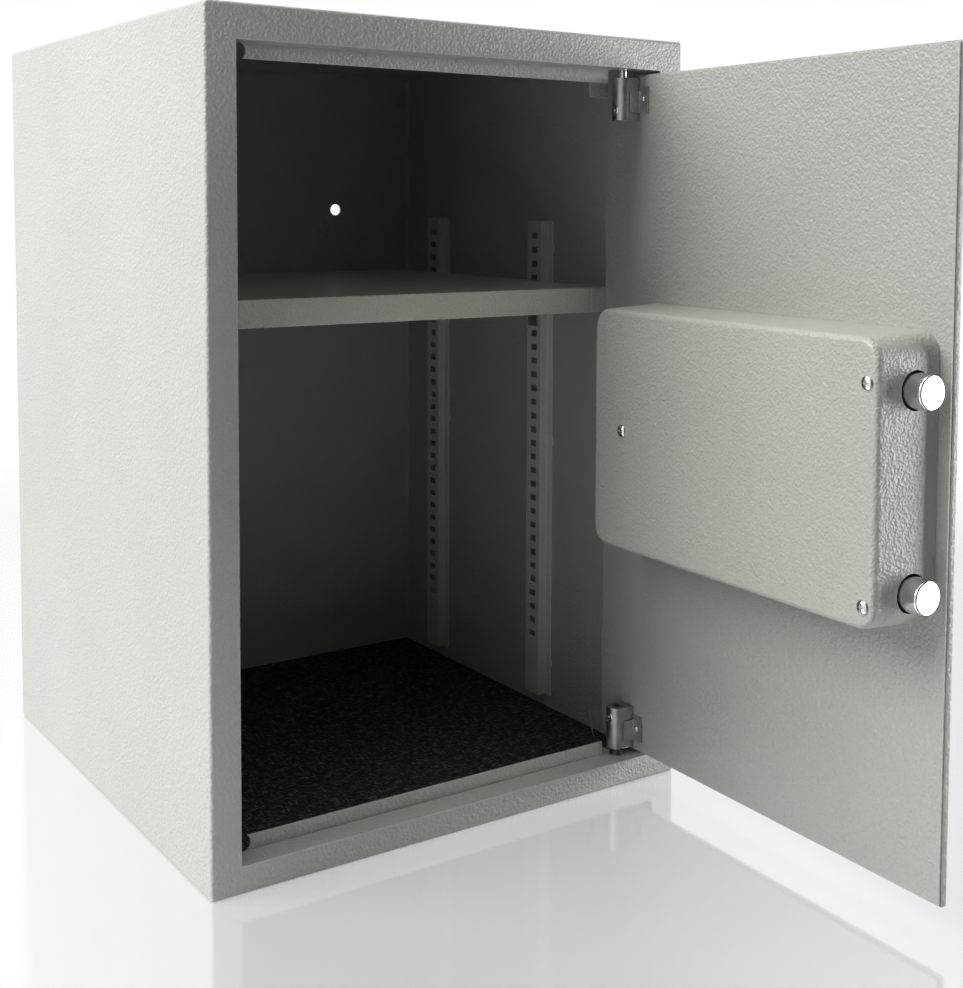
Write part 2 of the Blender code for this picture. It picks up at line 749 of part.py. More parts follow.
def make_hinge_clip(host, place, low):
    """A small angle on the liner beside a hinge block, held by one screw."""
    back = INNER_FACE + WELD_GAP
    right = PIVOT.x - BLOCK_RADIUS - WELD_GAP
    left = right - CLIP_FOOT
    high = low + CLIP_HEIGHT
    clip = block(f"hinge_clip_{place}", (left, back, low), (right, back + CLIP_SHEET, high), host, "zinc")
    upright = block(
        f"hinge_clip_{place}_upright",
        (right - CLIP_SHEET, back + CLIP_SHEET / 2, low),
        (right, back + CLIP_RISE, high - CLIP_SHEET * 3),
        host,
    )
    join(clip, upright)
    middle = Vector(((left + right - CLIP_SHEET) / 2, back + CLIP_SHEET + WELD_GAP, (low + high) / 2))
    profile = [
        (0, CLIP_SCREW_HEAD),
        (CLIP_SCREW_RADIUS * 0.7, CLIP_SCREW_HEAD),
        (CLIP_SCREW_RADIUS, CLIP_SCREW_HEAD * 0.5),
        (CLIP_SCREW_RADIUS, 0),
        (0, 0),
    ]
    turned(f"clip_screw_{place}", profile, middle, (0, 1, 0), host, "bright_steel", SMALL_ROUND)


def make_hinges(host):
    low = {
        "bottom": OPENING_BOTTOM + BLOCK_TO_RETURN,
        "top": OPENING_TOP - BLOCK_TO_RETURN - BLOCK_HEIGHT,
    }
    screw_inset = GRUB_RADIUS * 2.2
    make_hinge_block(host, "hinge_block_top", low["top"], low["top"] + screw_inset)
    lower_top = low["bottom"] + BLOCK_HEIGHT
    lower = make_hinge_block(host, "hinge_block_bottom", low["bottom"], lower_top - screw_inset)
    slot_length, slot_width, slot_depth = BLOCK_SLOT
    slot = block(
        "hinge_slot",
        (PIVOT.x - slot_length / 2, PIVOT.y - slot_width, lower_top - slot_depth),
        (PIVOT.x + slot_length / 2, PIVOT.y, lower_top + PAST),
        host,
    )
    cut(lower, slot)
    pin_low = OPENING_BOTTOM - SHEET - WELD_GAP - HINGE_PLATE - PIN_CHAMFER
    pin_high = OPENING_TOP + SHEET + WELD_GAP + HINGE_PLATE + PIN_CHAMFER
    spans = {
        "bottom": (pin_low, lower_top - slot_depth - WELD_GAP),
        "top": (low["top"] + WELD_GAP, pin_high),
    }
    for name, (start, end) in spans.items():
        profile = chamfered(PIN_RADIUS, end - start, PIN_CHAMFER)
        base = PIVOT + Vector((0, 0, start))
        turned(f"hinge_pin_{name}", profile, base, (0, 0, 1), host, "bright_steel", SMALL_ROUND)
        make_hinge_clip(host, name, low[name] + (BLOCK_HEIGHT - CLIP_HEIGHT) / 2)


def pan(name, inset, host, finish=None):
    """The pressed cover's outer form, moved in by inset all round: drafted sides and rounded corners."""
    reach = PAST if inset else 0.0
    bm = bmesh.new()
    bmesh.ops.create_cube(bm, size=1)
    low = (COVER_LEFT + inset, COVER_BASE - reach, COVER_BOTTOM + inset)
    high = (COVER_RIGHT - inset, COVER_FACE - inset, COVER_TOP - inset)
    for vert in bm.verts:
        front = vert.co.y > 0
        draft = COVER_DRAFT if front else 0.0
        vert.co = [
            high[i] - draft * (i != 1) if vert.co[i] > 0 else low[i] + draft * (i != 1) for i in range(3)
        ]
    corners = [edge for edge in bm.edges if abs(edge.verts[0].co.y - edge.verts[1].co.y) > COVER_DEPTH / 2]
    bmesh.ops.bevel(
        bm,
        geom=corners,
        offset=COVER_CORNER_RADIUS - inset,
        segments=COVER_CORNER_STEPS,
        profile=0.5,
        affect="EDGES",
    )
    rim = [edge for edge in bm.edges if all(vert.co.y > high[1] - inset / 2 - 1e-6 for vert in edge.verts)]
    bmesh.ops.bevel(
        bm,
        geom=rim,
        offset=COVER_EDGE_RADIUS - inset,
        segments=COVER_EDGE_STEPS,
        profile=0.5,
        affect="EDGES",
    )
    return add(name, mesh_from(bm, name, True), (0, 0, 0), host, finish)


def cover_screw_places():
    """The middle of each cover screw in the closed door's plane."""
    near = COVER_LEFT + COVER_SCREW_INSET
    return {
        "upper": (near, BOLT_MIDDLE + COVER_SCREW_SPACING / 2),
        "middle": (POST_X, COVER_MIDDLE),
        "lower": (near, BOLT_MIDDLE - COVER_SCREW_SPACING / 2),
    }


def make_cover_screw(host, name, x, z, cover):
    """A pan-head screw through the cover, and the tool for the hole that it threads into."""
    head_base = COVER_FACE + WELD_GAP
    tip = head_base - COVER_SCREW_LENGTH
    hole = rod(
        f"cover_hole_{name}",
        COVER_SCREW_RADIUS + WELD_GAP,
        (x, tip - WELD_GAP, z),
        (x, COVER_FACE + PAST, z),
        host,
        sides=SMALL_ROUND,
    )
    cut(cover, hole)
    profile = [
        (0, COVER_SCREW_LENGTH + COVER_SCREW_HEAD),
        (COVER_SCREW_HEAD_RADIUS * 0.55, COVER_SCREW_LENGTH + COVER_SCREW_HEAD * 0.95),
        (COVER_SCREW_HEAD_RADIUS * 0.88, COVER_SCREW_LENGTH + COVER_SCREW_HEAD * 0.65),
        (COVER_SCREW_HEAD_RADIUS, COVER_SCREW_LENGTH + COVER_SCREW_HEAD * 0.25),
        (COVER_SCREW_HEAD_RADIUS, COVER_SCREW_LENGTH),
        (COVER_SCREW_RADIUS, COVER_SCREW_LENGTH),
        (COVER_SCREW_RADIUS, 0),
        (0, 0),
    ]
    screw = turned(
        f"cover_screw_{name}", profile, (x, tip, z), (0, 1, 0), host, "bright_steel", SMALL_ROUND
    )
    face = (x, head_base + COVER_SCREW_HEAD, z)
    half = COVER_SCREW_HEAD_RADIUS * 0.55
    cut(screw, *cross_recess(f"cover_recess_{name}", face, (0, -1, 0), half, host))
    return hole


def make_cover(host):
    cover = pan("lock_cover", 0.0, host, "cover_paint")
    cut(cover, pan("cover_hollow", COVER_SHEET, host))
    for name, height in BOLT_HEIGHTS.items():
        start = (COVER_LEFT - PAST, BOLT_Y, height)
        end = (COVER_LEFT + COVER_DRAFT + COVER_SHEET + PAST, BOLT_Y, height)
        cut(cover, rod(f"cover_bolt_hole_{name}", BOLT_RADIUS + BOLT_HOLE_CLEARANCE, start, end, host))
    places = cover_screw_places()
    holes = {name: make_cover_screw(host, name, x, z, cover) for name, (x, z) in places.items()}
    x, z = places["middle"]
    post_end = COVER_FACE - COVER_SHEET - WELD_GAP
    post = rod("cover_post", POST_RADIUS, (x, COVER_BASE, z), (x, post_end, z), host, "zinc", SMALL_ROUND)
    cut(post, holes["middle"])
    make_bolt_guide(host, holes["upper"], holes["lower"])


def make_bolt_guide(host, *screw_holes):
    """A bracket that carries the bolts near their ends, with a flange that the cover is screwed to."""
    left = COVER_LEFT + GUIDE_FROM_COVER
    right = left + GUIDE_SHEET
    low = BOLT_HEIGHTS["lower"] - BOLT_RADIUS - CARRIAGE_MARGIN
    high = BOLT_HEIGHTS["upper"] + BOLT_RADIUS + CARRIAGE_MARGIN
    back = INNER_FACE + WELD_GAP
    front = COVER_FACE - COVER_SHEET - WELD_GAP
    places = cover_screw_places()
    guide = block("bolt_guide", (left, back, low), (right, front, high), host, "zinc")
    foot_high = back + min(GUIDE_SHEET, (BOLT_Y - BOLT_RADIUS - back) / 2)
    foot = block("guide_foot", (right - GUIDE_FOOT, back, low), (left + GUIDE_SHEET / 2, foot_high, high), host)
    flange = block(
        "guide_flange",
        (right - GUIDE_FLANGE, front - GUIDE_SHEET, places["lower"][1] - GUIDE_FLANGE_MARGIN),
        (left + GUIDE_SHEET / 2, front, places["upper"][1] + GUIDE_FLANGE_MARGIN),
        host,
    )
    join(guide, foot, flange)
    for name, height in BOLT_HEIGHTS.items():
        start = (left - PAST, BOLT_Y, height)
        end = (right + PAST, BOLT_Y, height)
        cut(guide, rod(f"guide_hole_{name}", BOLT_RADIUS + GUIDE_CLEARANCE, start, end, host))
    cut(guide, *screw_holes)


def make_bolt(host, name, height):
    """A round bolt whose rear stud goes through the carriage and takes a nut."""
    total = BOLT_LENGTH + STUD_LENGTH
    profile = [
        (0, total),
        (STUD_RADIUS, total),
        (STUD_RADIUS, BOLT_LENGTH),
        (BOLT_RADIUS, BOLT_LENGTH),
        (BOLT_RADIUS, BOLT_CHAMFER),
        (BOLT_RADIUS - BOLT_CHAMFER * 0.3, BOLT_CHAMFER * 0.3),
        (BOLT_RADIUS - BOLT_CHAMFER, 0),
        (0, 0),
    ]
    turned(f"bolt_{name}", profile, (BOLT_TIP, BOLT_Y, height), (1, 0, 0), host, "chrome")
    left = BOLT_END + CARRIAGE_SHEET + 2 * WELD_GAP
    corner = NUT_FLATS / math.sqrt(3)
    end = (left + NUT_HEIGHT, BOLT_Y, height)
    nut = rod(f"bolt_nut_{name}", corner, (left, BOLT_Y, height), end, host, "bright_steel", 6)
    bore = rod(
        f"nut_bore_{name}",
        STUD_RADIUS + WELD_GAP,
        (BOLT_END - PAST, BOLT_Y, height),
        (left + NUT_HEIGHT + PAST, BOLT_Y, height),
        host,
        sides=SMALL_ROUND,
    )
    cut(nut, bore)
    return bore


def make_boltwork(host):
    bores = [make_bolt(host, name, height) for name, height in BOLT_HEIGHTS.items()]
    left = BOLT_END + WELD_GAP
    low = BOLT_HEIGHTS["lower"] - BOLT_RADIUS
    high = BOLT_HEIGHTS["upper"] + BOLT_RADIUS
    carriage = block(
        "bolt_carriage",
        (left, BOLT_Y - BOLT_RADIUS, low),
        (left + CARRIAGE_SHEET, BOLT_Y + BOLT_RADIUS, high),
        host,
        "zinc",
    )
    crank_end = INNER_FACE + CRANK_OFF_LINER + CRANK_THICKNESS
    slot_plate_back = crank_end + CRANK_TO_SLOT_PLATE
    slot_plate = block(
        "slot_plate",
        (left + CARRIAGE_SHEET / 2, slot_plate_back, BOLT_MIDDLE - SLOT_PLATE_HEIGHT / 2),
        (SLOT_PLATE_END, slot_plate_back + CARRIAGE_SHEET, BOLT_MIDDLE + SLOT_PLATE_HEIGHT / 2),
        host,
    )
    room = CRANK_PIN_RADIUS + CRANK_SLOT_CLEARANCE
    slot = block(
        "crank_slot",
        (CRANK_PIN_X - room, slot_plate_back - PAST, BOLT_MIDDLE + CRANK_REACH / math.sqrt(2) - room),
        (CRANK_PIN_X + room, slot_plate_back + CARRIAGE_SHEET + PAST, BOLT_MIDDLE + CRANK_REACH + room),
        host,
    )
    cut(join(carriage, slot_plate), slot, *bores)


def ring(name, axis, inner, outer, start, end, host, finish):
    """A flat ring about an axis along Y."""
    low = axis + Vector((0, start, 0))
    high = axis + Vector((0, end, 0))
    body = rod(name, outer, low, high, host, finish)
    past = Vector((0, PAST, 0))
    bore = rod(f"{name}_bore", inner, low - past, high + past, host, sides=SMALL_ROUND)
    return cut(body, bore)


def make_door_fittings(host):
    """The bush and collar that the spindle turns in, and the collar round the keyhole."""
    bore = SPINDLE_RADIUS + SPINDLE_CLEARANCE
    ring("spindle_bush", KNOB_AXIS, bore, bore + BUSH_WALL, FRONT, INNER_FACE, host, "bright_steel")
    start = FRONT - WELD_GAP - COLLAR_THICKNESS
    end = FRONT - WELD_GAP
    ring("knob_collar", KNOB_AXIS, bore, COLLAR_RADIUS, start, end, host, "bright_steel")
    collar_start = KEY_AXIS + Vector((0, start, 0))
    collar_end = KEY_AXIS + Vector((0, end, 0))
    collar = rod("key_collar", COLLAR_RADIUS, collar_start, collar_end, host, "bright_steel")
    keyhole = block(
        "keyhole",
        (KEY_AXIS.x - KEYHOLE_WIDTH / 2, start - PAST, KEY_AXIS.z - KEYHOLE_LENGTH / 2),
        (KEY_AXIS.x + KEYHOLE_WIDTH / 2, end + PAST, KEY_AXIS.z + KEYHOLE_LENGTH / 2),
        host,
    )
    cut(collar, keyhole)


def make_knob(host):
    """The outer knob, its spindle and the crank on the spindle's inner end."""
    base = FRONT - 2 * WELD_GAP - COLLAR_THICKNESS
    profile = [
        (0, KNOB_LENGTH),
        (KNOB_RADIUS * 0.80, KNOB_LENGTH),
        (KNOB_RADIUS * 0.93, KNOB_LENGTH * 0.95),
        (KNOB_RADIUS, KNOB_LENGTH * 0.84),
        (KNOB_RADIUS, KNOB_LENGTH * 0.24),
        (KNOB_RADIUS * 0.86, KNOB_LENGTH * 0.14),
        (KNOB_RADIUS * 0.86, 0),
        (0, 0),
    ]
    knob = turned("knob", profile, KNOB_AXIS + Vector((0, base, 0)), (0, -1, 0), host, "black_plastic", 48)
    start = base - KNOB_LENGTH * 0.7
    end = INNER_FACE + CRANK_OFF_LINER + CRANK_THICKNESS + PAST / 2
    spindle = rod(
        "knob_spindle",
        SPINDLE_RADIUS,
        KNOB_AXIS + Vector((0, start, 0)),
        KNOB_AXIS + Vector((0, end, 0)),
        host,
        "bright_steel",
        24,
    )
    bore = rod(
        "knob_bore",
        SPINDLE_RADIUS + WELD_GAP,
        KNOB_AXIS + Vector((0, start - WELD_GAP, 0)),
        KNOB_AXIS + Vector((0, end + PAST, 0)),
        host,
        sides=24,
    )
    turns = [2 * math.pi * number / KNOB_FLUTES for number in range(KNOB_FLUTES)]
    reach = KNOB_RADIUS + KNOB_FLUTE_RADIUS * 0.45
    ring_places = [(reach * math.cos(turn), reach * math.sin(turn)) for turn in turns]
    flute_start = KNOB_LENGTH * 0.20
    flutes = rods("knob_flutes", KNOB_FLUTE_RADIUS, ring_places, flute_start, KNOB_LENGTH + PAST, host, 12)
    flutes.location = knob.location
    along(flutes, (0, -1, 0))
    cut(knob, bore, flutes)
    crank_start = INNER_FACE + CRANK_OFF_LINER
    crank_end = crank_start + CRANK_THICKNESS
    low = KNOB_AXIS + Vector((0, crank_start, 0))
    high = KNOB_AXIS + Vector((0, crank_end, 0))
    crank = rod("crank", CRANK_RADIUS, low, high, host, "zinc")
    offset = CRANK_REACH / math.sqrt(2)
    pin_place = KNOB_AXIS + Vector((offset, 0, offset))
    pin_end = crank_end + CRANK_TO_SLOT_PLATE + CARRIAGE_SHEET + PAST
    pin = rod(
        "crank_pin",
        CRANK_PIN_RADIUS,
        pin_place + Vector((0, crank_start + CRANK_THICKNESS / 2, 0)),
        pin_place + Vector((0, pin_end, 0)),
        host,
        sides=SMALL_ROUND,
    )
    cut(join(crank, pin), bore)
    return spindle


def lock_plate_back():
    """The face of the lock bolt nearest the door, inside the lock case."""
    return INNER_FACE + WELD_GAP + LOCK_PLATE_OFF_CASE


def make_lock_case(host):
    back = INNER_FACE + WELD_GAP
    front = back + CASE_DEPTH
    left = KEY_AXIS.x - CASE_WIDTH / 2
    right = KEY_AXIS.x + CASE_WIDTH / 2
    low = KEY_AXIS.z - CASE_HEIGHT / 2
    high = KEY_AXIS.z + CASE_HEIGHT / 2
    case = block("lock_case", (left, back, low), (right, front, high), host, "zinc")
    hollow = block(
        "case_hollow",
        (left + CASE_SHEET, back + CASE_SHEET, low + CASE_SHEET),
        (right - CASE_SHEET, front + PAST, high - CASE_SHEET),
        host,
    )
    start = KEY_AXIS + Vector((0, back - PAST, 0))
    end = KEY_AXIS + Vector((0, back + CASE_SHEET + PAST, 0))
    rotor_hole = rod("case_rotor_hole", ROTOR_RADIUS + ROTOR_CLEARANCE, start, end, host)
    room = ROTOR_CLEARANCE
    plate_back = lock_plate_back()
    slot = block(
        "case_slot",
        (left - PAST, plate_back - room, KEY_AXIS.z - LOCK_PLATE_HEIGHT / 2 - room),
        (left + CASE_SHEET + PAST, plate_back + LOCK_PLATE + room, KEY_AXIS.z + LOCK_PLATE_HEIGHT / 2 + room),
        host,
    )
    cut(case, hollow, rotor_hole, slot)
    block(
        "lock_case_lid",
        (left, front + WELD_GAP, low),
        (right, front + WELD_GAP + CASE_SHEET, high),
        host,
        "zinc",
    )


def make_lock_bolt(host):
    tip = KEY_AXIS.x - CASE_WIDTH / 2 - PAST
    back = lock_plate_back()
    offset = LOCK_REACH / math.sqrt(2)
    plate = block(
        "lock_bolt",
        (tip, back, KEY_AXIS.z - LOCK_PLATE_HEIGHT / 2),
        (tip + LOCK_PLATE_LENGTH, back + LOCK_PLATE, KEY_AXIS.z + LOCK_PLATE_HEIGHT / 2),
        host,
        "bright_steel",
    )
    room = LOCK_PIN_RADIUS + LOCK_SLOT_CLEARANCE
    pin_x = KEY_AXIS.x + offset
    slot = block(
        "lock_slot",
        (pin_x - room, back - PAST, KEY_AXIS.z + offset - room),
        (pin_x + room, back + LOCK_PLATE + PAST, KEY_AXIS.z + LOCK_REACH + room),
        host,
    )
    cut(plate, slot)


def make_rotor(host):
    start = FRONT + WELD_GAP
    end = lock_plate_back() - ROTOR_CLEARANCE * 2
    rotor = rod(
        "key_rotor",
        ROTOR_RADIUS,
        KEY_AXIS + Vector((0, start, 0)),
        KEY_AXIS + Vector((0, end, 0)),
        host,
        "bright_steel",
    )
    offset = LOCK_REACH / math.sqrt(2)
    place = KEY_AXIS + Vector((offset, 0, offset))
    pin_end = lock_plate_back() + LOCK_PLATE + PAST
    pin = rod(
        "rotor_pin",
        LOCK_PIN_RADIUS,
        place + Vector((0, end - PAST, 0)),
        place + Vector((0, pin_end, 0)),
        host,
        sides=SMALL_ROUND,
    )
    half_width = KEYHOLE_WIDTH / 2
    half_length = KEYHOLE_LENGTH / 2
    keyway = block(
        "keyway",
        (KEY_AXIS.x - half_width, start - PAST, KEY_AXIS.z - half_length),
        (KEY_AXIS.x + half_width, start + (end - start) * 0.7, KEY_AXIS.z + half_length),
        host,
    )
    cut(join(rotor, pin), keyway)


def make_cabinet():
    host = Host()
    make_shell(host)
    make_back_panel(host)
    make_stop_strips(host)
    make_strike(host)
    make_hinge_plates(host)
    make_rails(host)
    make_mat(host)
    make_shelf(host)


def make_door():
    door = new_empty("door_hinge_axis", PIVOT, Host(), OPEN_ANGLE)
    make_door_leaf(door)
    make_hinges(door)
    make_cover(door)
    make_door_fittings(door)
    make_lock_case(door)
    make_boltwork(new_empty("bolt_slide_axis", (BOLT_TIP, BOLT_Y, BOLT_MIDDLE), door))
    make_knob(new_empty("knob_axis", KNOB_AXIS, door))
    make_rotor(new_empty("key_axis", KEY_AXIS, door))
    make_lock_bolt(new_empty("lock_bolt_axis", KEY_AXIS, door))


make_cabinet()
make_door()
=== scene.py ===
# The looks of the document safe: textured powder coat, plated fittings, chrome bolts and a felt floor mat.
# Metres, +Z up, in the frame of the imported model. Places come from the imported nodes' boxes.

import json
import math
import random

import bmesh
import bpy
from mathutils import Matrix, Vector, noise


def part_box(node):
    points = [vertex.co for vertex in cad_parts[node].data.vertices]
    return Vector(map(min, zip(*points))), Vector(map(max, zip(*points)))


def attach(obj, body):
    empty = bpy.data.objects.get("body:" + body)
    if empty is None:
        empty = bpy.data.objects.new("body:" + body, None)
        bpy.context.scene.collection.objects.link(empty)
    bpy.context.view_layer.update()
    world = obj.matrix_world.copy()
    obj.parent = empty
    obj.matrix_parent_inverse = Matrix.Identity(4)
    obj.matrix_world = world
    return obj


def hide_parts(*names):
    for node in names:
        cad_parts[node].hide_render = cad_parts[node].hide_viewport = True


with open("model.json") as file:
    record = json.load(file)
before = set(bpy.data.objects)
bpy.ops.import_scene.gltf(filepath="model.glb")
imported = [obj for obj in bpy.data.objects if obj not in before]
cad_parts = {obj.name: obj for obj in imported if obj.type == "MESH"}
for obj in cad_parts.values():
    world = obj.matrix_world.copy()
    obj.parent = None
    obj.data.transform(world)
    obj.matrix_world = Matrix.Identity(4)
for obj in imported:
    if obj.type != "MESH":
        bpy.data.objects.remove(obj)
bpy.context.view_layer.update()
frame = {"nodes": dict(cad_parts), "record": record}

NODES = frame["nodes"]
SCENE = bpy.context.scene

# Camera
CAMERA_PLACE = (-0.49427, -0.9709, 0.40783)
CAMERA_YAW = math.radians(35.77)
CAMERA_PITCH = math.radians(3.696)
CAMERA_ROLL = math.radians(0.401)
CAMERA_LENS = 53.04
CAMERA_SHIFT = (-0.0754, -0.2)

# Floor: a glossy disc, FLOOR_CLEAR see-through in the middle and wholly so at its rim
FLOOR_RADIUS = 1.5
FLOOR_SOLID = 0.7
FLOOR_SIDES = 96
FLOOR_POLISH = 0.65
FLOOR_CLEAR = 0.38
FLOOR_MATT = (0.90, 0.90, 0.91)
FLOOR_GLOSS = (0.95, 0.95, 0.96)
FLOOR_ROUGHNESS = 0.10

# Studio: full light towards BRIGHT_SIDE and DIM_LIGHT away from it, with a soft step between
STUDIO_COLOUR = (0.97, 0.98, 1.0)
WORLD_LIGHT = 0.30
DIM_LIGHT = 0.05
BRIGHT_SIDE = (-0.6, 0.8, 0.0)
BRIGHT_STEP = (-0.35, 0.15)

# Lights: place, what it points at, size, watts and colour
LIGHTS = {
    "key": ((-1.6, 0.30, 1.55), (-0.1, -0.05, 0.28), (1.4, 1.4), 42, (1.0, 0.998, 0.99)),
    "window": ((1.80, -1.60, 0.20), (0.1, -0.3, 0.3), (0.9, 1.4), 34, (0.97, 0.99, 1.0)),
    "floor_wash": ((0.0, -0.2, 2.6), (0.0, -0.2, 0.0), (3.0, 3.0), 10, (1, 1, 1)),
}
WASH_SPREAD = math.radians(60)

# Edges of folded and turned metal
SHEET_EDGE = 0.0004
FITTING_EDGE = 0.00025
EDGE_ANGLE = math.radians(40)
WELD_DISTANCE = 0.00001
FLAT_ANGLE = math.radians(0.5)
EDGE_SEGMENTS = 2
EDGE_SPAN = (0.80, 0.995)

# In the finishes below, a tone is a factor on the colour, a share says how much of it is mixed in, and a
# size is how wide the marks are

# Powder coat: its clouds, grain, specks, ripples, edges lightened partly as wear and partly as painted
# highlight, and gloss patches
COAT_CLOUD_TONES = (0.95, 1.03)
COAT_GRAIN_TONE = 0.82
COAT_GRAIN_SHARE = 0.55
COAT_SPECK_TONE = 1.15
COAT_SPECK_SHARE = 0.4
COAT_SPECK_SPAN = (0.55, 0.8)
# Edge lightening of the coat: partly thin, worn paint and partly a painted highlight along the edges
COAT_WORN_AND_HIGHLIGHT_TONE = 1.6
COAT_WORN_AND_HIGHLIGHT_SHARE = 0.75
COAT_WORN_AND_HIGHLIGHT_LEAST = 0.45
COAT_CLOUD = 0.12
COAT_GRAIN = 0.0011
COAT_SPECK = 0.0005
COAT_RIPPLE = 0.006
COAT_WORN_AND_HIGHLIGHT_PATCHES = 0.006
COAT_GLOSS = 0.03
COAT_EDGE = 0.0011
COAT_ROUGHNESS = (0.31, 0.36)
COAT_CLEAR = 0.25
COAT_CLEAR_ROUGHNESS = 0.22
PEBBLE_BEND = 0.0022
PEBBLE_BEND_SIZE = 0.004
PEBBLE_HEIGHT = 2.0
RIPPLE_HEIGHT = 1.2
GRAIN_HEIGHT = 0.45

# Zinc plate
ZINC_CLOUD_TONES = (0.78, 1.12)
ZINC_MARK_TONE = 0.45
ZINC_MARK_SHARE = 0.6
ZINC_MARK_SPAN = (0.62, 0.8)
ZINC_EDGE_TONE = 1.7
ZINC_EDGE_SHARE = 0.7
ZINC_CLOUD = 0.007
ZINC_LINE = 0.0012
ZINC_MARK = 0.0022
ZINC_EDGE = 0.0006
ZINC_DRAWN = (1.0, 1.0, 0.06)
ZINC_ROUGHNESS = (0.30, 0.48)
ZINC_CLOUD_HEIGHT = 0.00004
ZINC_LINE_HEIGHT = 0.00003

# Bright metal
METAL_SMEAR_TONE = 0.90
METAL_EDGE_TONE = 1.12
METAL_EDGE_SHARE = 0.5
METAL_SMEAR = 0.009
METAL_LINE = 0.0007
METAL_EDGE = 0.0005
METAL_TURNED = (1.0, 0.07, 1.0)

# Black plastic
PLASTIC_TONES = (0.8, 1.6)
PLASTIC_EDGE_TONE = 4.0
PLASTIC_EDGE_SHARE = 0.6
PLASTIC_ROUGHNESS = (0.34, 0.5)
PLASTIC_GRAIN_HEIGHT = 0.00004
PLASTIC_GRAIN = 0.0006
PLASTIC_RUB = 0.004
PLASTIC_EDGE = 0.0008

# Felt
FELT_TONES = (0.55, 1.5)
FELT_FLECK_TONE = 22.0
FELT_FLECK_SHARE = 0.9
FELT_FLECK_SPAN = (0.55, 0.68)
FELT_ROUGHNESS = 0.95
FELT_HEIGHT = 0.003
FELT_SHEEN = 0.12
FELT_SHEEN_ROUGHNESS = 0.5
FELT_SPECULAR = 0.2
FELT_TUFT = 0.0035
FELT_FIBRE = 0.0016
FIBRE_STRETCH = 0.22

# Felt mat: its unevenness, thickness and rim as shares of the room it lies in
MAT_STEPS = 72
MAT_LIFT = 0.12
MAT_MEAN = 1.2
MAT_LOFT = 0.6
MAT_EDGE_DROP = 0.25
MAT_WAVES = ((18, 0.6), (70, 0.4))
MAT_RIM = 0.4999

# Rail welds: length, width and height of a bead, and places as shares of the rail's height
RAIL_WELD_SIZE = (0.009, 0.0042, 0.0013)
RAIL_WELD_SHARES = (0.069, 0.54, 0.943)
RAIL_WELD_FROM_WALL = 0.0006
RAIL_WELD_FROM_FRONT = 0.0002
BEAD_LUMPS = 0.16
BEAD_LUMP_RATE = 2.3
BEAD_SIDES = (14, 8)

# Back weld
BACK_WELD_LEG = 0.0016
BACK_WELD_STEP = 0.004
BACK_WELD_SINK = 0.0006
BACK_WELD_ROOT = 0.0003
BACK_WELD_RIPPLE = (0.22, 2.1)
BACK_WELD_CHANCE = 0.15
BACK_WELD_SEED = 11

# Hinge spring: wire radius, room round the pin, and the leg's points from the last coil
SPRING_WIRE = 0.00045
SPRING_ROOM = 0.0014
SPRING_TURNS = 4.5
SPRING_STEPS = 24
SPRING_PITCH = 2.5
SPRING_START = 1.6
SPRING_LEG = (
    (-0.0030, 0.0045, 0.0006),
    (-0.0080, 0.0075, 0.0030),
    (-0.0098, 0.0080, 0.0080),
    (-0.0145, 0.0080, 0.0285),
)
WIRE_SIDES = 10


# --------------------------------------------------------------------------- materials


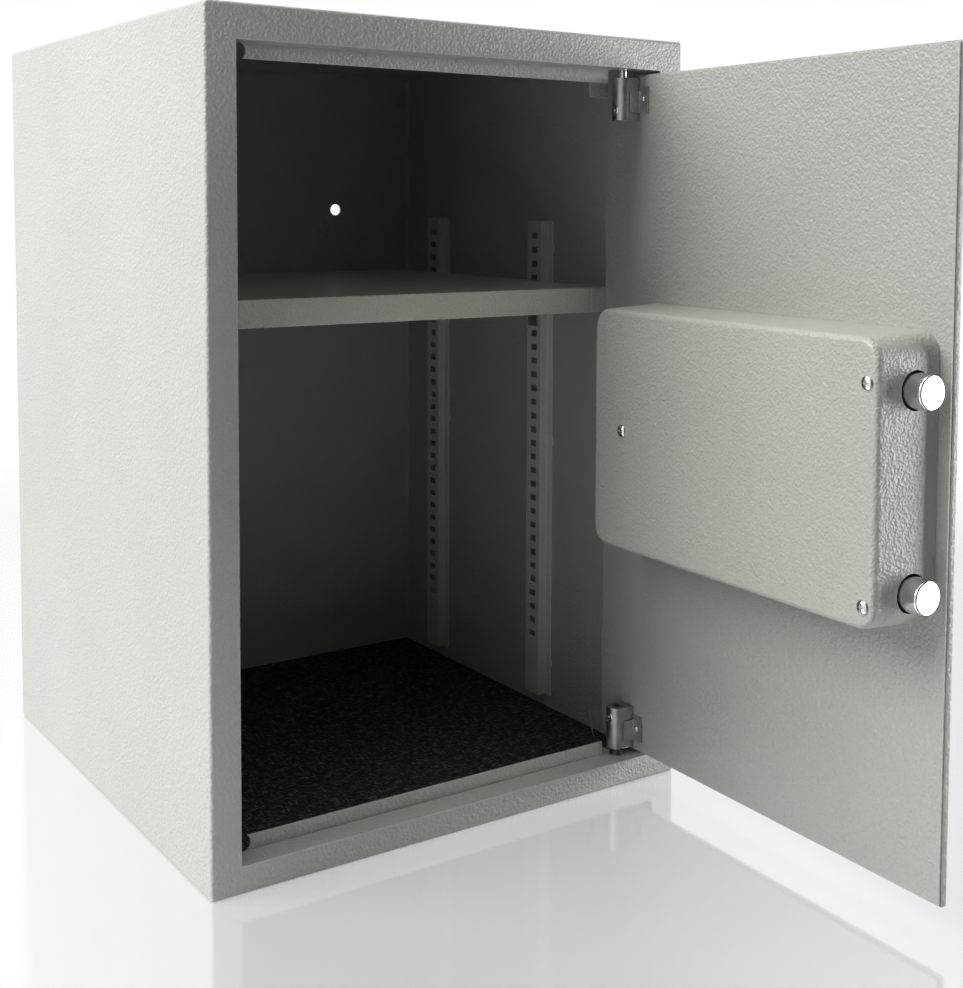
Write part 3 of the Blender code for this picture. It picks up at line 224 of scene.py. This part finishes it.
class Finish:
    """A Principled material under construction, with short ways to add and join its nodes."""

    # Colour sockets of the Mix node, which share their names with its number sockets
    MIX_FIRST = 6
    MIX_SECOND = 7
    MIX_RESULT = 2

    def __init__(self, name, colour, roughness, metallic=0.0):
        self.material = bpy.data.materials.new(name)
        self.material.use_nodes = True
        self.tree = self.material.node_tree
        self.shader = self.tree.nodes["Principled BSDF"]
        self.set("Base Color", (*colour, 1))
        self.set("Roughness", roughness)
        self.set("Metallic", metallic)
        self.place = self.node("ShaderNodeTexCoord").outputs["Object"]

    def set(self, socket, value):
        self.shader.inputs[socket].default_value = value

    def node(self, kind, **settings):
        made = self.tree.nodes.new(kind)
        for name, value in settings.items():
            setattr(made, name, value)
        return made

    def link(self, source, target):
        self.tree.links.new(source, target)

    def into(self, source, socket):
        self.link(source, self.shader.inputs[socket])

    def math(self, operation, first, second):
        made = self.node("ShaderNodeMath", operation=operation)
        for socket, value in zip(made.inputs, (first, second)):
            if isinstance(value, (int, float)):
                socket.default_value = value
            else:
                self.link(value, socket)
        return made.outputs[0]

    def noise(self, size, detail=3.0, roughness=0.5, place=None):
        """Cloudy noise whose blotches are about this many metres across."""
        made = self.node("ShaderNodeTexNoise")
        made.inputs["Scale"].default_value = 1 / size
        made.inputs["Detail"].default_value = detail
        made.inputs["Roughness"].default_value = roughness
        self.link(place or self.place, made.inputs["Vector"])
        return made.outputs["Fac"]

    def cells(self, size, place=None):
        """Pebbles about this many metres across, low at their middles."""
        made = self.node("ShaderNodeTexVoronoi", feature="SMOOTH_F1")
        made.inputs["Scale"].default_value = 1 / size
        made.inputs["Smoothness"].default_value = 1.0
        self.link(place or self.place, made.inputs["Vector"])
        return made.outputs["Distance"]

    def stretched(self, scale):
        made = self.node("ShaderNodeMapping")
        made.inputs["Scale"].default_value = scale
        self.link(self.place, made.inputs["Vector"])
        return made.outputs["Vector"]

    def span(self, source, low, high, from_low=0.3, from_high=0.7):
        """The source's stretch from from_low to from_high, turned into low to high."""
        made = self.node("ShaderNodeMapRange")
        self.link(source, made.inputs["Value"])
        made.inputs["From Min"].default_value = from_low
        made.inputs["From Max"].default_value = from_high
        made.inputs["To Min"].default_value = low
        made.inputs["To Max"].default_value = high
        return made.outputs["Result"]

    def mix(self, share, first, second):
        made = self.node("ShaderNodeMix", data_type="RGBA")
        for place, value in (("Factor", share), (self.MIX_FIRST, first), (self.MIX_SECOND, second)):
            socket = made.inputs[place]
            if isinstance(value, (int, float)):
                socket.default_value = value
            elif isinstance(value, tuple):
                socket.default_value = (*value, 1)
            else:
                self.link(value, socket)
        return made.outputs[self.MIX_RESULT]

    def bump(self, *layers):
        """Bumps in metres: (height source, height in metres) pairs, from coarse to fine."""
        normal = None
        for source, height in layers:
            made = self.node("ShaderNodeBump")
            made.inputs["Strength"].default_value = 1.0
            made.inputs["Distance"].default_value = height
            self.link(source, made.inputs["Height"])
            if normal:
                self.link(normal, made.inputs["Normal"])
            normal = made.outputs["Normal"]
        self.into(normal, "Normal")

    def edges(self, radius):
        """1 on edges that are sharper than the radius, and 0 on flats."""
        bevel = self.node("ShaderNodeBevel", samples=2)
        bevel.inputs["Radius"].default_value = radius
        shape = self.node("ShaderNodeNewGeometry")
        dot = self.node("ShaderNodeVectorMath", operation="DOT_PRODUCT")
        self.link(bevel.outputs["Normal"], dot.inputs[0])
        self.link(shape.outputs["Normal"], dot.inputs[1])
        return self.span(dot.outputs["Value"], 1.0, 0.0, *EDGE_SPAN)


def shade(colour, factor):
    return tuple(channel * factor for channel in colour)


def powder_coat(name, colour, pebble=0.0018, depth=0.00030):
    """Textured powder coat: pebbles of this size and depth, a fine grain, faint clouds, and edges lightened
    partly as wear and partly as painted highlight.
    """
    finish = Finish(name, colour, COAT_ROUGHNESS[0])
    clouds = finish.noise(COAT_CLOUD, detail=4.0)
    grain = finish.noise(COAT_GRAIN, detail=2.0)
    speck = finish.noise(COAT_SPECK, detail=1.0)
    dark, light = (shade(colour, tone) for tone in COAT_CLOUD_TONES)
    tone = finish.mix(finish.span(clouds, 0.0, 1.0), dark, light)
    tone = finish.mix(finish.span(grain, 0.0, COAT_GRAIN_SHARE), tone, shade(colour, COAT_GRAIN_TONE))
    specks = finish.span(speck, 0.0, COAT_SPECK_SHARE, *COAT_SPECK_SPAN)
    tone = finish.mix(specks, tone, shade(colour, COAT_SPECK_TONE))
    # Edges lightened partly as wear and partly as a painted highlight, in patches
    patches = finish.span(finish.noise(COAT_WORN_AND_HIGHLIGHT_PATCHES), COAT_WORN_AND_HIGHLIGHT_LEAST, 1.0)
    rubbed = finish.math("MULTIPLY", finish.edges(COAT_EDGE), patches)
    tone = finish.mix(finish.math("MULTIPLY", rubbed, COAT_WORN_AND_HIGHLIGHT_SHARE), tone, shade(colour, COAT_WORN_AND_HIGHLIGHT_TONE))
    finish.into(tone, "Base Color")
    finish.into(finish.span(finish.noise(COAT_GLOSS, detail=5.0), *COAT_ROUGHNESS), "Roughness")
    bent = finish.node("ShaderNodeVectorMath", operation="MULTIPLY_ADD")
    finish.link(finish.noise(PEBBLE_BEND_SIZE, detail=2.0), bent.inputs[0])
    bent.inputs[1].default_value = (PEBBLE_BEND, PEBBLE_BEND, PEBBLE_BEND)
    finish.link(finish.place, bent.inputs[2])
    pebbles = finish.cells(pebble, place=bent.outputs["Vector"])
    ripple = finish.noise(COAT_RIPPLE, detail=2.0)
    finish.bump(
        (ripple, depth * RIPPLE_HEIGHT),
        (pebbles, depth * PEBBLE_HEIGHT),
        (grain, depth * GRAIN_HEIGHT),
    )
    finish.set("Coat Weight", COAT_CLEAR)
    finish.set("Coat Roughness", COAT_CLEAR_ROUGHNESS)
    return finish.material


def zinc_plate(name, colour):
    """Dull zinc over pressed or turned steel: cloudy tone, fine drawn lines and a few dark marks."""
    finish = Finish(name, colour, ZINC_ROUGHNESS[0], metallic=1.0)
    clouds = finish.noise(ZINC_CLOUD, detail=5.0, roughness=0.6)
    lines = finish.noise(ZINC_LINE, detail=4.0, place=finish.stretched(ZINC_DRAWN))
    marks = finish.span(finish.noise(ZINC_MARK, detail=3.0), 0.0, ZINC_MARK_SHARE, *ZINC_MARK_SPAN)
    dark, light = (shade(colour, tone) for tone in ZINC_CLOUD_TONES)
    tone = finish.mix(finish.span(clouds, 0.0, 1.0), dark, light)
    tone = finish.mix(marks, tone, shade(colour, ZINC_MARK_TONE))
    rubbed = finish.math("MULTIPLY", finish.edges(ZINC_EDGE), ZINC_EDGE_SHARE)
    tone = finish.mix(rubbed, tone, shade(colour, ZINC_EDGE_TONE))
    finish.into(tone, "Base Color")
    finish.into(finish.span(clouds, *ZINC_ROUGHNESS), "Roughness")
    finish.bump((clouds, ZINC_CLOUD_HEIGHT), (lines, ZINC_LINE_HEIGHT))
    return finish.material


def bright_metal(name, colour, roughness, scratch_depth):
    """Machined or chromed steel with faint turning lines and finger marks."""
    finish = Finish(name, colour, roughness[0], metallic=1.0)
    smears = finish.noise(METAL_SMEAR, detail=4.0)
    lines = finish.noise(METAL_LINE, detail=3.0, place=finish.stretched(METAL_TURNED))
    tone = finish.mix(finish.span(smears, 0.0, 1.0), shade(colour, METAL_SMEAR_TONE), colour)
    rubbed = finish.math("MULTIPLY", finish.edges(METAL_EDGE), METAL_EDGE_SHARE)
    tone = finish.mix(rubbed, tone, shade(colour, METAL_EDGE_TONE))
    finish.into(tone, "Base Color")
    finish.into(finish.span(smears, *roughness), "Roughness")
    finish.bump((lines, scratch_depth))
    return finish.material


def moulded_plastic(name, colour):
    """Black moulded plastic with a fine spark-eroded grain and rubbed high spots."""
    finish = Finish(name, colour, PLASTIC_ROUGHNESS[0])
    grain = finish.cells(PLASTIC_GRAIN)
    rub = finish.noise(PLASTIC_RUB, detail=4.0)
    dark, light = (shade(colour, tone) for tone in PLASTIC_TONES)
    tone = finish.mix(finish.span(rub, 0.0, 1.0), dark, light)
    rubbed = finish.math("MULTIPLY", finish.edges(PLASTIC_EDGE), PLASTIC_EDGE_SHARE)
    tone = finish.mix(rubbed, tone, shade(colour, PLASTIC_EDGE_TONE))
    finish.into(tone, "Base Color")
    finish.into(finish.span(rub, *PLASTIC_ROUGHNESS), "Roughness")
    finish.bump((grain, PLASTIC_GRAIN_HEIGHT))
    return finish.material


def needle_felt(name, colour):
    """Dense felt: matted fibres that lie every way, lighter flecks and a soft sheen."""
    finish = Finish(name, colour, FELT_ROUGHNESS)
    tufts = finish.noise(FELT_TUFT, detail=5.0, roughness=0.65)
    along = finish.noise(FELT_FIBRE, detail=4.0, place=finish.stretched((1.0, FIBRE_STRETCH, 1.0)))
    across = finish.noise(FELT_FIBRE, detail=4.0, place=finish.stretched((FIBRE_STRETCH, 1.0, 1.0)))
    fibres = finish.math("MAXIMUM", along, across)
    dark, light = (shade(colour, tone) for tone in FELT_TONES)
    tone = finish.mix(finish.span(tufts, 0.0, 1.0), dark, light)
    flecks = finish.span(fibres, 0.0, FELT_FLECK_SHARE, *FELT_FLECK_SPAN)
    tone = finish.mix(flecks, tone, shade(colour, FELT_FLECK_TONE))
    finish.into(tone, "Base Color")
    finish.bump((tufts, FELT_HEIGHT), (fibres, FELT_HEIGHT))
    finish.set("Sheen Weight", FELT_SHEEN)
    finish.set("Sheen Roughness", FELT_SHEEN_ROUGHNESS)
    finish.set("Specular IOR Level", FELT_SPECULAR)
    return finish.material


MATERIALS = {
    "cabinet_paint": powder_coat("cabinet_powder_coat", (0.60, 0.61, 0.56)),
    # The door's coat is the cabinet's coat made darker, as painted shade
    "door_paint": powder_coat("door_powder_coat_painted_shade", (0.505, 0.508, 0.470)),
    "cover_paint": powder_coat("cover_powder_coat", (0.545, 0.54, 0.495), pebble=0.0016),
    "shelf_paint": powder_coat("shelf_powder_coat", (0.90, 0.89, 0.80), pebble=0.0016),
    "rail_paint": powder_coat("rail_powder_coat", (0.86, 0.86, 0.79), pebble=0.0014, depth=0.00018),
    "zinc": zinc_plate("zinc_plate", (0.46, 0.46, 0.44)),
    "spring_wire": zinc_plate("spring_wire", (0.13, 0.13, 0.125)),
    "bright_steel": bright_metal("bright_steel", (0.72, 0.72, 0.71), (0.16, 0.30), 0.00003),
    "chrome": bright_metal("polished_chrome", (0.74, 0.74, 0.75), (0.10, 0.19), 0.000002),
    "black_plastic": moulded_plastic("black_plastic", (0.016, 0.016, 0.017)),
    "felt": needle_felt("needle_felt", (0.013, 0.0115, 0.011)),
}
SLOTS = {part["node"]: part["material_slot"] for part in frame["record"]["subparts"]}
FITTING_SLOTS = ("zinc", "bright_steel", "chrome", "black_plastic")


# --------------------------------------------------------------------------- edges


def smoothing_group():
    """Shades faces smooth and keeps the edges past EDGE_ANGLE sharp."""
    group = bpy.data.node_groups.new("smooth_by_angle", "GeometryNodeTree")
    for direction in ("INPUT", "OUTPUT"):
        group.interface.new_socket("Geometry", in_out=direction, socket_type="NodeSocketGeometry")
    start = group.nodes.new("NodeGroupInput")
    end = group.nodes.new("NodeGroupOutput")
    faces = group.nodes.new("GeometryNodeSetShadeSmooth")
    faces.domain = "FACE"
    creases = group.nodes.new("GeometryNodeSetShadeSmooth")
    creases.domain = "EDGE"
    creases.inputs["Shade Smooth"].default_value = False
    angle = group.nodes.new("GeometryNodeInputMeshEdgeAngle")
    sharp = group.nodes.new("ShaderNodeMath")
    sharp.operation = "GREATER_THAN"
    sharp.inputs[1].default_value = EDGE_ANGLE
    group.links.new(start.outputs[0], faces.inputs["Geometry"])
    group.links.new(faces.outputs[0], creases.inputs["Geometry"])
    group.links.new(angle.outputs["Unsigned Angle"], sharp.inputs[0])
    group.links.new(sharp.outputs[0], creases.inputs["Selection"])
    group.links.new(creases.outputs[0], end.inputs[0])
    return group


SMOOTHING = smoothing_group()


def shade_by_angle(obj):
    smooth = obj.modifiers.new("smooth", "NODES")
    smooth.node_group = SMOOTHING
    weighted = obj.modifiers.new("normals", "WEIGHTED_NORMAL")
    weighted.keep_sharp = True


def soften_edges(obj, width):
    """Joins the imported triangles, rounds every hard edge a little and shades the result smooth."""
    weld = obj.modifiers.new("weld", "WELD")
    weld.merge_threshold = WELD_DISTANCE
    flat = obj.modifiers.new("flat", "DECIMATE")
    flat.decimate_type = "DISSOLVE"
    flat.angle_limit = FLAT_ANGLE
    bevel = obj.modifiers.new("edge", "BEVEL")
    bevel.width = width
    bevel.segments = EDGE_SEGMENTS
    bevel.limit_method = "ANGLE"
    bevel.angle_limit = EDGE_ANGLE
    shade_by_angle(obj)


def dress(obj, slot, finish=None):
    """Gives the object the slot's own material or another finish of the same kind."""
    obj.data.materials.clear()
    obj.data.materials.append(MATERIALS[finish or slot])


def dress_nodes():
    for name, obj in NODES.items():
        slot = SLOTS[name]
        dress(obj, slot, "rail_paint" if name.startswith("shelf_rail") else None)
        soften_edges(obj, FITTING_EDGE if slot in FITTING_SLOTS else SHEET_EDGE)


# --------------------------------------------------------------------------- pieces


def new_piece(name, bm, slot, body, finish=None):
    mesh = bpy.data.meshes.new(name)
    bmesh.ops.recalc_face_normals(bm, faces=bm.faces)
    bm.to_mesh(mesh)
    bm.free()
    mesh.shade_smooth()
    obj = bpy.data.objects.new(name, mesh)
    SCENE.collection.objects.link(obj)
    dress(obj, slot, finish)
    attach(obj, body)
    return obj


def make_mat():
    """A loose felt mat on the cabinet's floor, a little uneven where it was pushed in."""
    low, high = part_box("floor_mat")
    size = high - low
    bm = bmesh.new()
    bmesh.ops.create_grid(bm, x_segments=MAT_STEPS, y_segments=MAT_STEPS, size=0.5)
    for vert in bm.verts:
        place = Vector((low.x + (vert.co.x + 0.5) * size.x, low.y + (vert.co.y + 0.5) * size.y, 0))
        wave = sum(noise.noise(place * rate) * share for rate, share in MAT_WAVES)
        on_rim = max(abs(vert.co.x), abs(vert.co.y)) > MAT_RIM
        place.z = high.z - size.z * MAT_LIFT * (MAT_MEAN + wave) - (size.z * MAT_EDGE_DROP if on_rim else 0)
        vert.co = place
    mat = new_piece("felt_mat", bm, "felt", "cabinet")
    solid = mat.modifiers.new("thickness", "SOLIDIFY")
    solid.thickness = size.z * MAT_LOFT
    solid.offset = -1
    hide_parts("floor_mat")


def weld_bead(bm, centre, along, out, seed):
    """A small, slightly lumpy lens of weld metal, longer along its seam."""
    length, width, height = RAIL_WELD_SIZE
    rounds, rings = BEAD_SIDES
    made = bmesh.ops.create_uvsphere(bm, u_segments=rounds, v_segments=rings, radius=1)["verts"]
    across = out.cross(along)
    for vert in made:
        rough = 1 + BEAD_LUMPS * noise.noise(vert.co * BEAD_LUMP_RATE + Vector((seed, 0, 0)))
        vert.co = (
            centre
            + along * vert.co.x * length / 2 * rough
            + across * vert.co.y * width / 2 * rough
            + out * vert.co.z * height * rough
        )


def make_rail_welds():
    """Three short welds down the front flange of each rail, at the wall."""
    for place in ("front", "rear"):
        for hand, side in (("left", -1), ("right", 1)):
            low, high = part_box(f"shelf_rail_{place}_{hand}")
            wall = high.x if side > 0 else low.x
            x = wall - side * RAIL_WELD_FROM_WALL
            bm = bmesh.new()
            for number, share in enumerate(RAIL_WELD_SHARES):
                centre = Vector((x, low.y + RAIL_WELD_FROM_FRONT, low.z + (high.z - low.z) * share))
                weld_bead(bm, centre, Vector((0, 0, 1)), Vector((-side, 0, 0)), number)
            new_piece(f"rail_weld_{place}_{hand}", bm, "cabinet_paint", "cabinet", "rail_paint")


def join_rings(bm, first, second):
    """A belt of faces between two rings of as many points each."""
    for number in range(len(first)):
        after = (number + 1) % len(first)
        bm.faces.new((first[number], first[after], second[after], second[number]))


def tube(bm, points, radius):
    """A round wire along a line of points, closed at both ends."""
    previous = None
    side = None
    for number, point in enumerate(points):
        before = points[max(number - 1, 0)]
        after = points[min(number + 1, len(points) - 1)]
        along = (after - before).normalized()
        side = side or along.orthogonal()
        side = (side - along * side.dot(along)).normalized()
        across = along.cross(side)
        ring = [
            bm.verts.new(point + (side * math.cos(turn) + across * math.sin(turn)) * radius)
            for turn in (math.tau * step / WIRE_SIDES for step in range(WIRE_SIDES))
        ]
        if previous:
            join_rings(bm, previous, ring)
        else:
            bm.faces.new(ring)
        previous = ring
    bm.faces.new(previous)


def make_hinge_spring():
    """A wire spring round the lower hinge pin, with one leg that stands up beside the block."""
    pin_low, pin_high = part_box("hinge_pin_bottom")
    centre = (pin_low + pin_high) / 2
    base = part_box("hinge_plate_bottom")[1].z
    coil = (pin_high.x - pin_low.x) / 2 + SPRING_ROOM
    points = []
    for step in range(int(SPRING_TURNS * SPRING_STEPS) + 1):
        turn = math.tau * step / SPRING_STEPS
        rise = base + SPRING_WIRE * SPRING_START + SPRING_WIRE * SPRING_PITCH * step / SPRING_STEPS
        points.append(Vector((centre.x + coil * math.cos(turn), centre.y + coil * math.sin(turn), rise)))
    last = points[-1]
    points += [last + Vector(offset) for offset in SPRING_LEG]
    bm = bmesh.new()
    tube(bm, points, SPRING_WIRE)
    new_piece("hinge_spring", bm, "zinc", "cabinet", "spring_wire")


def make_back_weld():
    """A painted fillet weld all round the inside of the back panel."""
    low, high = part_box("back_panel")
    ripple, ripple_rate = BACK_WELD_RIPPLE
    root = Vector((0, BACK_WELD_ROOT, 0))
    quarter = [math.pi / 6 * step for step in range(4)]
    bm = bmesh.new()
    rng = random.Random(BACK_WELD_SEED)
    corners = [(low.x, low.z), (high.x, low.z), (high.x, high.z), (low.x, high.z)]
    for (x0, z0), (x1, z1) in zip(corners, corners[1:] + corners[:1]):
        along = Vector((x1 - x0, 0, z1 - z0))
        length = along.length
        along.normalize()
        inward = Vector((-along.z, 0, along.x))
        count = int(length / BACK_WELD_STEP)
        previous = None
        for step in range(count + 1):
            uneven = ripple * math.sin(step * ripple_rate) + BACK_WELD_CHANCE * (rng.random() - 0.5)
            fat = BACK_WELD_LEG * (1 + uneven)
            middle = Vector((x0, low.y, z0)) + along * (length * step / count) - inward * BACK_WELD_SINK
            reach = inward * (fat + BACK_WELD_SINK)
            rise = Vector((0, fat, 0))
            ring = [bm.verts.new(middle + reach * math.cos(turn) - rise * math.sin(turn)) for turn in quarter]
            ring.append(bm.verts.new(middle + root))
            ring.append(bm.verts.new(middle + inward * fat + root))
            if previous:
                join_rings(bm, previous, ring)
            else:
                bm.faces.new(ring)
            previous = ring
        bm.faces.new(previous)
    new_piece("back_weld", bm, "cabinet_paint", "cabinet")


# --------------------------------------------------------------------------- stage


def add_nodes(tree, **kinds):
    """Clears the tree and adds one node for each name, in the order given."""
    tree.nodes.clear()
    return [tree.nodes.new(kind) for kind in kinds.values()]


def make_floor():
    """A pale glossy table top that fades into the white surroundings."""
    bpy.ops.mesh.primitive_circle_add(radius=FLOOR_RADIUS, vertices=FLOOR_SIDES, fill_type="NGON")
    floor = bpy.context.object
    floor.name = "floor"
    material = bpy.data.materials.new("floor")
    material.use_nodes = True
    tree = material.node_tree
    output, matt, gloss, polished, clear, faded, place, length, fade = add_nodes(
        tree,
        output="ShaderNodeOutputMaterial",
        matt="ShaderNodeBsdfDiffuse",
        gloss="ShaderNodeBsdfGlossy",
        polished="ShaderNodeMixShader",
        clear="ShaderNodeBsdfTransparent",
        faded="ShaderNodeMixShader",
        place="ShaderNodeTexCoord",
        length="ShaderNodeVectorMath",
        fade="ShaderNodeMapRange",
    )
    matt.inputs["Color"].default_value = (*FLOOR_MATT, 1)
    gloss.inputs["Color"].default_value = (*FLOOR_GLOSS, 1)
    gloss.inputs["Roughness"].default_value = FLOOR_ROUGHNESS
    polished.inputs["Fac"].default_value = FLOOR_POLISH
    length.operation = "LENGTH"
    fade.interpolation_type = "SMOOTHERSTEP"
    fade.inputs["From Min"].default_value = FLOOR_SOLID
    fade.inputs["From Max"].default_value = FLOOR_RADIUS
    fade.inputs["To Min"].default_value = FLOOR_CLEAR
    tree.links.new(place.outputs["Object"], length.inputs[0])
    tree.links.new(length.outputs["Value"], fade.inputs["Value"])
    tree.links.new(matt.outputs[0], polished.inputs[1])
    tree.links.new(gloss.outputs[0], polished.inputs[2])
    tree.links.new(fade.outputs["Result"], faded.inputs["Fac"])
    tree.links.new(polished.outputs[0], faded.inputs[1])
    tree.links.new(clear.outputs[0], faded.inputs[2])
    tree.links.new(faded.outputs[0], output.inputs["Surface"])
    floor.data.materials.append(material)


def make_world():
    """A pale studio: bright behind and to the left, dim in front, and white where it is seen directly."""
    world = bpy.data.worlds.new("studio")
    SCENE.world = world
    world.cycles.sampling_method = "NONE"
    world.use_nodes = True
    tree = world.node_tree
    place, side, bright, output, mirrored, lighting, soft, seen, path, by_gloss, by_sight = add_nodes(
        tree,
        place="ShaderNodeTexCoord",
        side="ShaderNodeVectorMath",
        bright="ShaderNodeMapRange",
        output="ShaderNodeOutputWorld",
        mirrored="ShaderNodeBackground",
        lighting="ShaderNodeBackground",
        soft="ShaderNodeMath",
        seen="ShaderNodeBackground",
        path="ShaderNodeLightPath",
        by_gloss="ShaderNodeMixShader",
        by_sight="ShaderNodeMixShader",
    )
    side.operation = "DOT_PRODUCT"
    side.inputs[1].default_value = BRIGHT_SIDE
    bright.interpolation_type = "SMOOTHSTEP"
    bright.inputs["From Min"].default_value, bright.inputs["From Max"].default_value = BRIGHT_STEP
    bright.inputs["To Min"].default_value = DIM_LIGHT
    soft.operation = "MULTIPLY"
    soft.inputs[1].default_value = WORLD_LIGHT
    mirrored.inputs["Color"].default_value = (*STUDIO_COLOUR, 1)
    lighting.inputs["Color"].default_value = (*STUDIO_COLOUR, 1)
    seen.inputs["Color"].default_value = (1, 1, 1, 1)
    tree.links.new(place.outputs["Generated"], side.inputs[0])
    tree.links.new(side.outputs["Value"], bright.inputs["Value"])
    tree.links.new(bright.outputs["Result"], mirrored.inputs["Strength"])
    tree.links.new(bright.outputs["Result"], soft.inputs[0])
    tree.links.new(soft.outputs[0], lighting.inputs["Strength"])
    tree.links.new(path.outputs["Is Glossy Ray"], by_gloss.inputs["Fac"])
    tree.links.new(lighting.outputs[0], by_gloss.inputs[1])
    tree.links.new(mirrored.outputs[0], by_gloss.inputs[2])
    tree.links.new(path.outputs["Is Camera Ray"], by_sight.inputs["Fac"])
    tree.links.new(by_gloss.outputs[0], by_sight.inputs[1])
    tree.links.new(seen.outputs[0], by_sight.inputs[2])
    tree.links.new(by_sight.outputs[0], output.inputs[0])


def area_light(name, place, target, size, watts, colour):
    data = bpy.data.lights.new(name, "AREA")
    data.shape = "RECTANGLE"
    data.size, data.size_y = size
    data.energy = watts
    data.color = colour
    light = bpy.data.objects.new(name, data)
    SCENE.collection.objects.link(light)
    light.location = place
    light.rotation_euler = (Vector(target) - Vector(place)).to_track_quat("-Z", "Y").to_euler()
    return light


def make_lights():
    made = {name: area_light(name, *settings) for name, settings in LIGHTS.items()}
    made["floor_wash"].data.spread = WASH_SPREAD


def make_camera():
    forward = Vector(
        (
            math.sin(CAMERA_YAW) * math.cos(CAMERA_PITCH),
            math.cos(CAMERA_YAW) * math.cos(CAMERA_PITCH),
            -math.sin(CAMERA_PITCH),
        )
    )
    level = Vector((math.cos(CAMERA_YAW), -math.sin(CAMERA_YAW), 0))
    upright = level.cross(forward)
    right = level * math.cos(CAMERA_ROLL) + upright * math.sin(CAMERA_ROLL)
    up = upright * math.cos(CAMERA_ROLL) - level * math.sin(CAMERA_ROLL)
    data = bpy.data.cameras.new("camera")
    data.lens = CAMERA_LENS
    data.shift_x, data.shift_y = CAMERA_SHIFT
    camera = bpy.data.objects.new("camera", data)
    SCENE.collection.objects.link(camera)
    turn = Matrix((right, up, -forward)).transposed()
    camera.matrix_world = Matrix.Translation(CAMERA_PLACE) @ turn.to_4x4()
    SCENE.camera = camera


make_camera()
dress_nodes()
make_mat()
make_rail_welds()
make_back_weld()
make_hinge_spring()
make_floor()
make_world()
make_lights()
SCENE.view_settings.view_transform = "Standard"
